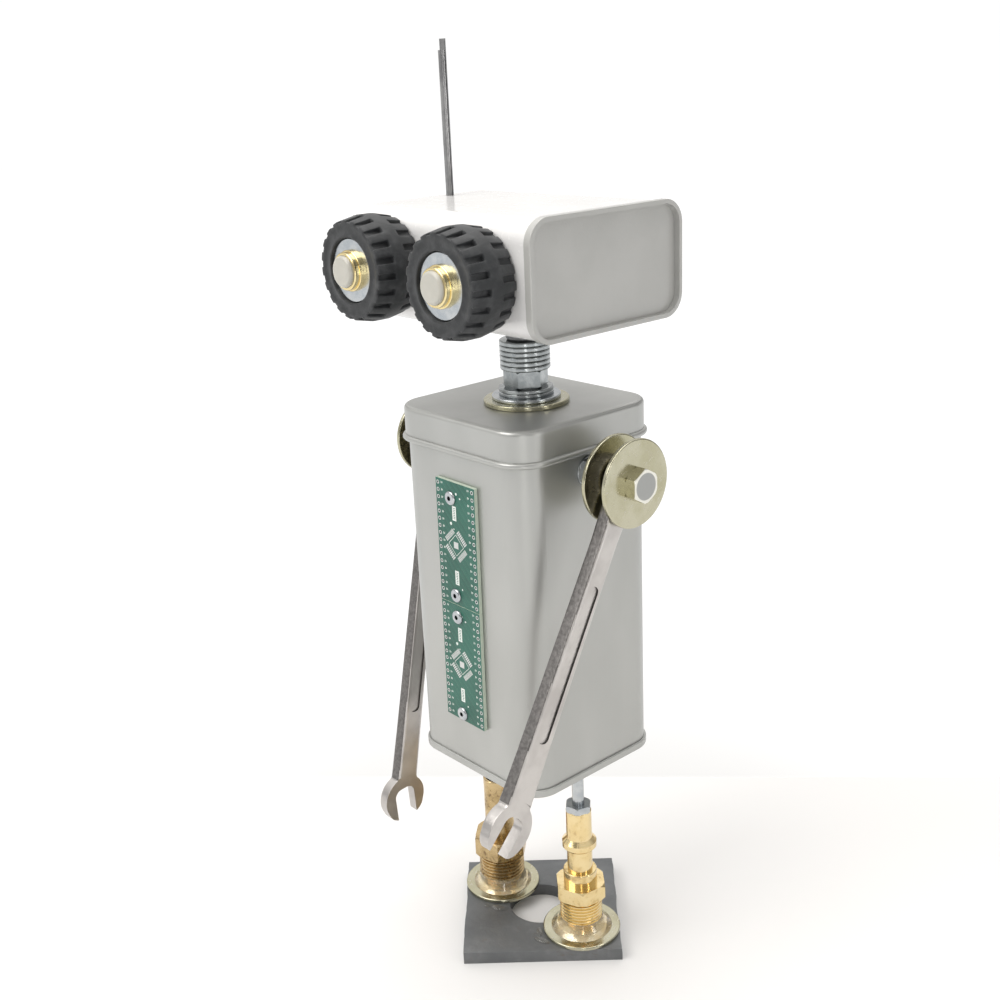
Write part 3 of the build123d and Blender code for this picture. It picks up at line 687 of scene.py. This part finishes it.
pick(tyre, lug_face)
bpy.ops.mesh.extrude_region_move()
grow = tyre_r / carcass_r
bpy.ops.transform.resize(value=(grow, 1, grow), center_override=(0, tyre_wide / 2, 0))
bpy.ops.object.mode_set(mode="OBJECT")
choose(tyre, "VERT", lambda spot: min(spot.y, tyre_wide - spot.y) < 0.01 * MM and
       (spot.x ** 2 + spot.z ** 2) ** 0.5 > carcass_r * 1.02)
bpy.ops.transform.resize(value=(RIM_DROP, 1, RIM_DROP), center_override=(0, tyre_wide / 2, 0))
bpy.ops.mesh.select_all(action="SELECT")
bpy.ops.mesh.normals_make_consistent(inside=False)
bpy.ops.object.mode_set(mode="OBJECT")
finishing(tyre, "BEVEL", width=0.4 * MM, segments=2, limit_method="ANGLE",
          angle_limit=radians(40))
smooth(tyre, 40)
tyre.data.materials.append(rubber.material)
for side in ("left", "right"):
    node_low, node_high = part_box(side + "_eye_tyre")
    middle = (node_low + node_high) / 2
    fitted = bpy.data.objects.new(side + "_tyre_rubber", tyre.data.copy())
    bpy.context.scene.collection.objects.link(fitted)
    fitted.location = (middle.x, node_low.y, middle.z)
    settle(fitted)
    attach(fitted, "head")
    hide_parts(side + "_eye_tyre")
bpy.data.objects.remove(tyre)


# ---------------------------------------------------------------------------------------------
# Arms: two drop-forged combination wrenches, plated and worn satin. Each is forged soft-edged,
# then its jaw faces are milled flat, the jaw and ring are broached, and a panel is sunk in it.
forged = Finish("forged_plate", metal=1.0)
hide = forged.cloud(0.0014, 4.0)
worn = forged.cloud(0.012, 3.0)
nicks = forged.scratches(0.0008, (1, 6, 1), (0.5, 0.1, 0.2))
forged.give(colour=forged.mix(forged.step(worn, 0.35, 0.7), (0.46, 0.44, 0.425, 1),
                              (0.56, 0.54, 0.52, 1)), rough=0.26 + hide * 0.12 + nicks * 0.15)
forged.relief(hide * 0.5 + worn * 0.3 + nicks * 0.2, 0.00012)


def box_tool(name, low, high, **edge):
    """A cube between two corners, with its edges eased if a bevel is given."""
    low, high = (Vector(map(pick_end, low, high)) * MM for pick_end in (min, max))
    made = settle(tool("cube", name, size=1, location=(low + high) / 2, scale=high - low))
    if edge:
        finishing(made, "BEVEL", **edge)
    return made


def disc_tool(name, radius, thick, z, x=0.0, corners=48):
    """A disc that faces sideways."""
    return settle(tool("cylinder", name, vertices=corners, radius=radius * MM, depth=thick * MM,
                       location=(x * MM, 0, z * MM), rotation=(0, pi / 2, 0)))


def turn_about(piece, degrees, centre):
    """Turn a piece about a sideways axis through a centre, in its mesh."""
    pivot = Matrix.Translation(Vector(centre))
    piece.matrix_world = pivot @ Matrix.Rotation(radians(degrees), 4, "X") @ pivot.inverted()
    return settle(piece)


# Painted shade: the wrench flanks get a far darker colour than the faces, over a rough as-forged
# skin.
shaded_flank = Finish("flank_painted_shade", metal=0.9)
pits = shaded_flank.cloud(0.0012, 4.0)
shaded_flank.give(colour=shaded_flank.mix(shaded_flank.step(pits, 0.3, 0.7), (0.13, 0.125, 0.12, 1),
                            (0.21, 0.20, 0.195, 1)), rough=0.36 + pits * 0.15)
shaded_flank.relief(pits, 0.00015)
# Painted shade: the walls of the sunk panel are coloured near black, for the shade in the recess;
# the mottle only varies that dark.
panel_shade = Finish("panel_wall_painted_shade", metal=0.8)
shade_mottle = panel_shade.cloud(0.001, 3.0)
panel_shade.give(colour=panel_shade.mix(shade_mottle, (0.05, 0.048, 0.045, 1), (0.11, 0.105, 0.10, 1)),
            rough=0.45 + shade_mottle * 0.2)
panel_shade.relief(shade_mottle, 0.00005)


HALF_THICK = 2.8
RING_R, RING_THICK, BROACH_R = 8.2, 7.0, 4.9
PALM_R, MILL_R = 10.0, 10.7
JAW_HALF, JAW_LONG, JAW_TAPER = 9.85, 9.2, 0.80
GAP_HALF, GAP_DEEP = 4.85, 4.8
MILLED_AT = 2.2
PANEL_FROM, PANEL_TO, PANEL_SHARE = 0.30, 0.75, 0.29


def forge(name, reach, hang, jaw_turn, slim, broad, pivot):
    """A wrench that hangs from its ring: reach and widths are in mm, and turns in degrees."""
    foot = -(reach - 6.1) * MM
    jaw_at = (0, 0, -reach * MM)
    blank = box_tool(name, (-HALF_THICK, -slim / 2, -reach + 6), (HALF_THICK, slim / 2, -3))
    bpy.ops.object.mode_set(mode="EDIT")
    bpy.ops.mesh.select_all(action="SELECT")
    bpy.ops.mesh.subdivide(number_cuts=5)
    bpy.ops.object.mode_set(mode="OBJECT")
    choose(blank, "VERT", lambda spot: spot.z < foot)
    bpy.ops.transform.resize(value=(1, broad / slim * 1.08, 1))
    bpy.ops.object.mode_set(mode="OBJECT")
    for vertex in blank.data.vertices:
        down = -vertex.co.z / MM
        share = min(max((down - 30) / (reach - 50), 0), 1)
        if vertex.co.z > foot:
            vertex.co.y *= 1 + share * (broad / slim - 1)
            vertex.co.y *= 1 + 0.3 * max(0, 1 - down / 14)
    finishing(blank, "BEVEL", width=1.5 * MM, segments=3, limit_method="ANGLE",
              angle_limit=radians(60))
    ring = disc_tool("ring", RING_R, RING_THICK, 0)
    finishing(ring, "BEVEL", width=1.2 * MM, segments=3, limit_method="ANGLE",
              angle_limit=radians(50))
    palm = disc_tool("palm", PALM_R, 2 * HALF_THICK, -reach)
    fingers = box_tool("fingers", (-HALF_THICK, -JAW_HALF, -reach - JAW_LONG),
                       (HALF_THICK, JAW_HALF, -reach))
    choose(fingers, "VERT", lambda spot: spot.z < -(reach + 8) * MM)
    bpy.ops.transform.resize(value=(1, JAW_TAPER, 1))
    bpy.ops.object.mode_set(mode="OBJECT")
    choose(fingers, "EDGE", lambda one, two: max(one.z, two.z) < -(reach + 8) * MM and
           abs(one.x - two.x) > 1 * MM)
    bpy.ops.mesh.bevel(offset=4.6 * MM, segments=8, affect="EDGES")
    bpy.ops.object.mode_set(mode="OBJECT")
    turn_about(fingers, jaw_turn, jaw_at)
    gather(blank, ring, palm, fingers)
    finishing(blank, "REMESH", mode="VOXEL", voxel_size=0.42 * MM)
    finishing(blank, "SMOOTH", factor=0.5, iterations=7)
    for face in (1, -1):
        carve(blank, disc_tool("mill", MILL_R, 1.0, -reach, face * (MILLED_AT + 0.5), 96))
        panel = box_tool("panel", (face * MILLED_AT, -slim * PANEL_SHARE, -reach * PANEL_TO),
                         (face * 8.0, slim * PANEL_SHARE, -reach * PANEL_FROM))
        choose(panel, "EDGE", lambda one, two: abs(one.x - two.x) > 1 * MM)
        bpy.ops.mesh.bevel(offset=slim * 0.25 * MM, segments=5, affect="EDGES")
        bpy.ops.object.mode_set(mode="OBJECT")
        carve(blank, panel)
    gap = box_tool("gap", (-5, -GAP_HALF, -reach - 16), (5, GAP_HALF, -reach + GAP_DEEP))
    choose(gap, "EDGE", lambda one, two: min(one.z, two.z) > -reach * MM and
           abs(one.x - two.x) > 1 * MM)
    bpy.ops.mesh.bevel(offset=3.4 * MM, segments=6, affect="EDGES")
    bpy.ops.object.mode_set(mode="OBJECT")
    turn_about(gap, jaw_turn, jaw_at)
    carve(blank, gap)
    carve(blank, disc_tool("broach", BROACH_R, 20, 0, 0, 12))
    for finish in (forged, shaded_flank, panel_shade):
        blank.data.materials.append(finish.material)
    # Faces that point sideways get painted shade: the panel walls near black, the flanks above the
    # jaw dark.
    for polygon in blank.data.polygons:
        spot = polygon.center / MM
        on_panel = PANEL_FROM - 0.01 < -spot.z / reach < PANEL_TO + 0.01 and \
            abs(spot.y) < slim * (PANEL_SHARE + 0.02)
        if abs(polygon.normal.x) < 0.6:
            polygon.material_index = 2 if on_panel else 1 if spot.z > -reach + 9 else 0
    turn_about(blank, hang, (0, 0, 0))
    blank.location = pivot
    settle(blank)
    smooth(blank, 32)
    return blank


for side, reach, hang, jaw_turn, slim, broad in (("left", 126.5, -29.0, -15.0, 8.6, 11.2),
                                                 ("right", 157.0, -11.3, 15.0, 8.0, 9.6)):
    shoulder = next(j for j in frame["joints"] if j["name"] == side + "_arm_swing")
    where = Vector(shoulder["pos_m"])
    arm = forge(side + "_arm_forging", reach, hang, jaw_turn, slim, broad, where)
    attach(arm, side + "_arm")
    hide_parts(side + "_arm_wrench")


# ---------------------------------------------------------------------------------------------
# Circuit boards: two of the same blank chip adapter end to end. Each is green-lacquered glass
# board with tinned rings down its long edges, a diamond of chip pads, and white printed marks.
mask_green = Finish("green_solder_mask", rough=0.4, coat=0.12, coat_rough=0.25)
weave = mask_green.cloud(0.0011, 2.0)
pool = mask_green.cloud(0.02, 2.0)
fan = mask_green.node("ShaderNodeTexWave", {"wave_type": "BANDS", "bands_direction": "DIAGONAL"},
                      {"Vector": mask_green.place, "Scale": 190.0, "Distortion": 1.4,
                       "Detail": 1.0, "Detail Scale": 60.0})
tracks = mask_green.step(mask_green.flow(fan.outputs["Fac"]), 0.62, 0.8)
green = mask_green.mix(mask_green.step(pool, 0.35, 0.65), (0.006, 0.082, 0.056, 1),
                       (0.012, 0.115, 0.080, 1))
mask_green.give(colour=mask_green.mix(tracks * 0.14, green, (0.02, 0.20, 0.13, 1)),
                rough=0.32 + weave * 0.1)
mask_green.relief(tracks * 0.6 + weave * 0.4, 0.00005)

glass_edge = Finish("glass_board_edge", rough=0.55)
strands = glass_edge.cloud(0.0003, 2.0, (8, 1, 8))
glass_edge.give(colour=glass_edge.mix(strands, (0.66, 0.72, 0.62, 1), (0.50, 0.60, 0.48, 1)))
glass_edge.relief(strands, 0.0001)

tinned = Finish("tinned_copper", metal=1.0)
dross = tinned.cloud(0.0007, 3.0)
tinned.give(colour=tinned.mix(dross, (0.70, 0.71, 0.70, 1), (0.56, 0.58, 0.57, 1)),
            rough=0.3 + dross * 0.2)
tinned.relief(dross, 0.00005)

ink = Finish("white_print", rough=0.5)
fleck = ink.cloud(0.0005, 2.0)
ink.give(colour=ink.mix(ink.step(fleck, 0.35, 0.7), (0.80, 0.83, 0.80, 1), (0.66, 0.72, 0.68, 1)))
ink.relief(fleck, 0.00003)

BOARD_W, BOARD_H = 21.8, 48.5
RINGS, RING_PITCH = 17, 2.82
RING_IN, RING_OUT = 0.42, 0.76
PADS, PAD_PITCH = 8, 0.8
CHIP_X, CHIP_Z = -0.65, -0.2
PRINT, SOLDER, LET_IN = 0.03, 0.05, 0.05
board_low, board_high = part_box("upper_board")
board_thick = (board_high.y - board_low.y) / MM


def slab(name, x, z, wide, high, proud, finish):
    """A thin plate let into the front of the board, about a place on it."""
    made = tool("cube", name, size=1, location=(x * MM, (LET_IN - proud) / 2 * MM, z * MM),
                scale=(wide * MM, (LET_IN + proud) * MM, high * MM))
    made.data.materials.append(finish.material)
    return settle(made)


def row(piece, count, step):
    """Repeat a piece along a step, in millimetres."""
    return finishing(piece, "ARRAY", count=count, use_relative_offset=False,
                     use_constant_offset=True, constant_offset_displace=Vector(step) * MM)


def post(name, x, z, radius, y, long, finish=None):
    """A round post through the board."""
    made = tool("cylinder", name, vertices=20, radius=radius * MM, depth=long * MM,
                location=(x * MM, y * MM, z * MM), rotation=(pi / 2, 0, 0))
    if finish:
        made.data.materials.append(finish.material)
    return settle(made)


def circuit_board(name, rivets):
    """One board about its own centre, with a hole for each rivet and every mark on its front."""
    sheet = box_tool(name, (-BOARD_W / 2, 0, -BOARD_H / 2), (BOARD_W / 2, board_thick, BOARD_H / 2),
                     width=0.12 * MM, segments=2, limit_method="NONE")
    sheet.data.materials.append(mask_green.material)
    sheet.data.materials.append(glass_edge.material)
    for face in sheet.data.polygons:
        face.material_index = 0 if abs(face.normal.y) > 0.9 else 1
    first = -(RINGS - 1) / 2 * RING_PITCH
    extras = []
    for side in (-1, 1):
        edge_x = side * (BOARD_W / 2 - 1.35)
        drill = row(post("drill", edge_x, first, RING_IN, 0, 8), RINGS, (0, 0, RING_PITCH))
        rings = row(post("rings", edge_x, first, RING_OUT, 0.02, 0.12, tinned), RINGS,
                    (0, 0, RING_PITCH))
        finishing(rings, "BOOLEAN", object=drill, operation="DIFFERENCE", solver="EXACT")
        carve(sheet, drill)
        mark_x = side * (BOARD_W / 2 - 3.55)
        for nudge, high in ((-0.28, 0.85), (0.28, 0.62)):
            marks = slab("marks", mark_x + nudge, first + 0.25, 0.26, high, PRINT, ink)
            extras.append(row(marks, RINGS, (0, 0, RING_PITCH)))
        extras.append(rings)
    for x, z in rivets:
        carve(sheet, post("rivet_hole", x, z, 1.1, 0, 8))
    chip_at = Matrix.Translation((CHIP_X * MM, 0, CHIP_Z * MM))
    for quarter in range(4):
        pads = slab("pads", -(PADS - 1) / 2 * PAD_PITCH, 4.75, 0.54, 1.95, SOLDER, tinned)
        row(pads, PADS, (PAD_PITCH, 0, 0))
        line = slab("outline", 0, 2.95, 6.0, 0.18, PRINT, ink)
        for part in (pads, line):
            part.matrix_world = chip_at @ Matrix.Rotation(radians(45 + 90 * quarter), 4, "Y")
            extras.append(settle(part))
    extras.append(slab("middle_pad", CHIP_X, CHIP_Z, 2.5, 2.5, SOLDER, tinned))
    for bar_z in (12.2, -13.2):
        extras.append(slab("label_bar", -0.9, bar_z, 2.1, 5.6, PRINT, ink))
        ticks = slab("bar_ticks", -0.9, bar_z - 2.0, 0.9, 0.28, SOLDER, mask_green)
        extras.append(row(ticks, 7, (0, 0, 0.66)))
    for x, z, radius in ((-3.0, 7.9, 0.6), (-1.5, 6.0, 0.28), (0.6, 20.0, 0.5), (2.6, 18.6, 0.35),
                         (1.8, -17.2, 0.35)):
        extras.append(post("dot", x, z, radius, 0, 2 * PRINT, ink))
    return gather(sheet, *extras)


LEAN = radians(0.9)
for node, name, rivets in (("upper_board", "upper_circuit_board", ((-2.2, 17.9), (-2.1, -20.4))),
                           ("lower_board", "lower_circuit_board", ((-1.3, 19.4), (-1.7, -21.3)))):
    node_low, node_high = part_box(node)
    middle = (node_low + node_high) / 2
    board = circuit_board(name, rivets)
    board.matrix_world = Matrix.Translation((middle.x, node_low.y, middle.z)) @ \
        Matrix.Rotation(LEAN, 4, "Y")
    settle(board)
    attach(board, "torso")
    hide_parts(node)
